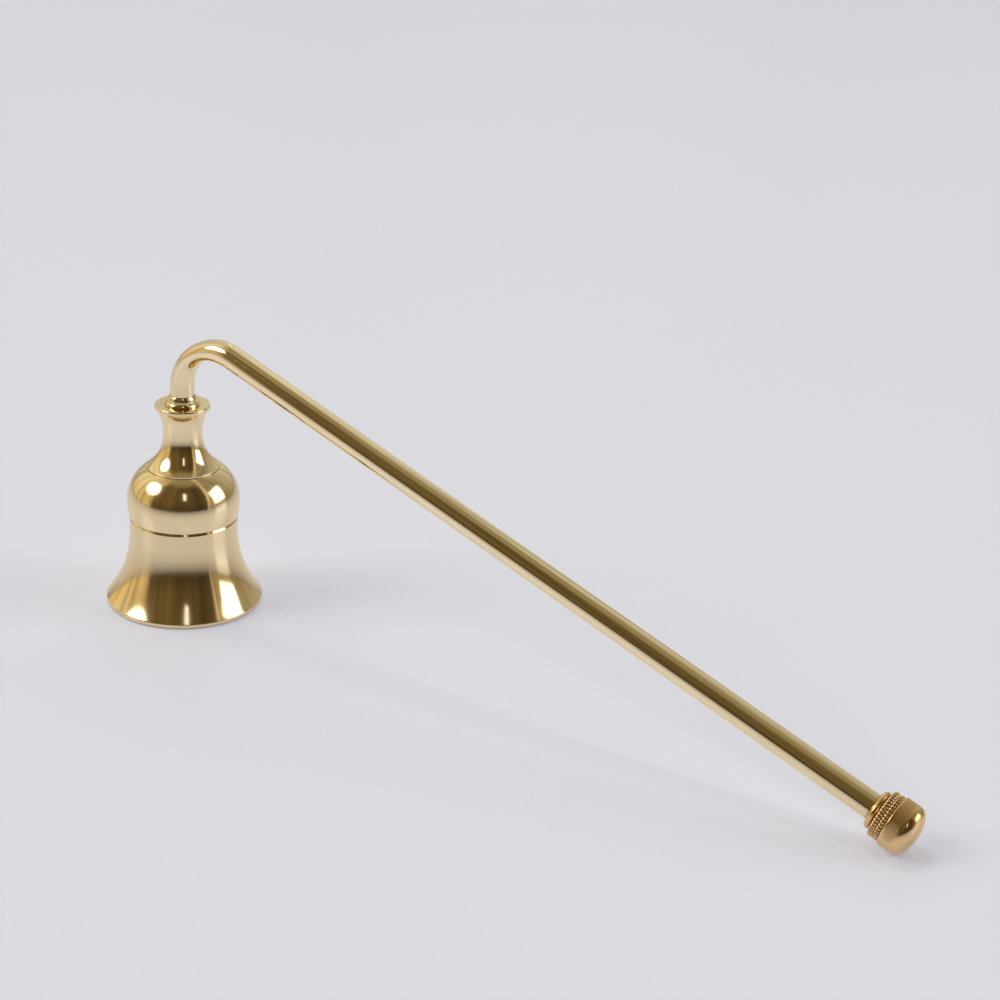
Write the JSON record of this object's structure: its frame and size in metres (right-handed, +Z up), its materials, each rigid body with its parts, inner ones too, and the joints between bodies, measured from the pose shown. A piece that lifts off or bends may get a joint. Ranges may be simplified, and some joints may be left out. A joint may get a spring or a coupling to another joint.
{
  "type": "candle snuffer",
  "caption": "Candle snuffer with a flared brass bell that swivels on the end of a bent brass tube, and a beaded knob screwed on the tube's other end.",
  "frame": {"origin": "middle of the bell's mouth, on the flat lip that stands on the table", "axes": "+Z up along the bell's axis, +X along the handle from the bell towards the knob, XZ is the plane of the bend"},
  "size_m": [0.1858, 0.033, 0.0602],
  "materials": {
    "bell_brass": "polished and lacquered",
    "tube_brass": "polished and lacquered",
    "knob_brass": "polished, with a beaded grip",
    "fastener_brass": "as turned"
  },
  "bodies": {
    "handle": {"handle_tube": "tube_brass", "tube_ring": "tube_brass", "bell_stud": "fastener_brass", "bell_washer": "fastener_brass", "bell_nut": "fastener_brass", "knob_stud": "fastener_brass"},
    "bell": {"bell_skirt": "bell_brass", "bell_dome": "bell_brass", "bell_neck": "bell_brass"},
    "knob_collar": {"knob_bead_ring": "knob_brass"},
    "knob": {"knob_grip_ring": "knob_brass", "knob_barrel": "knob_brass"}
  },
  "joints": [
    {"name": "bell_swivel", "type": "hinge", "parent": "handle", "child": "bell", "pos_m": [0, 0, 0.0449], "axis": [0, 0, 1], "continuous": true},
    {"name": "knob_back_off", "type": "slide", "parent": "handle", "child": "knob_collar", "axis": [0.946, 0, -0.3241], "range_m": [0, 0.003]},
    {"name": "knob_unscrew", "type": "hinge", "parent": "knob_collar", "child": "knob", "pos_m": [0.16016, 0, 0.00688], "axis": [0.946, 0, -0.3241], "range_deg": [0, 2160]}
  ],
  "couplings": [
    {"joint": "knob_unscrew", "follows": "knob_back_off", "rad_per_m": 12566}
  ]
}
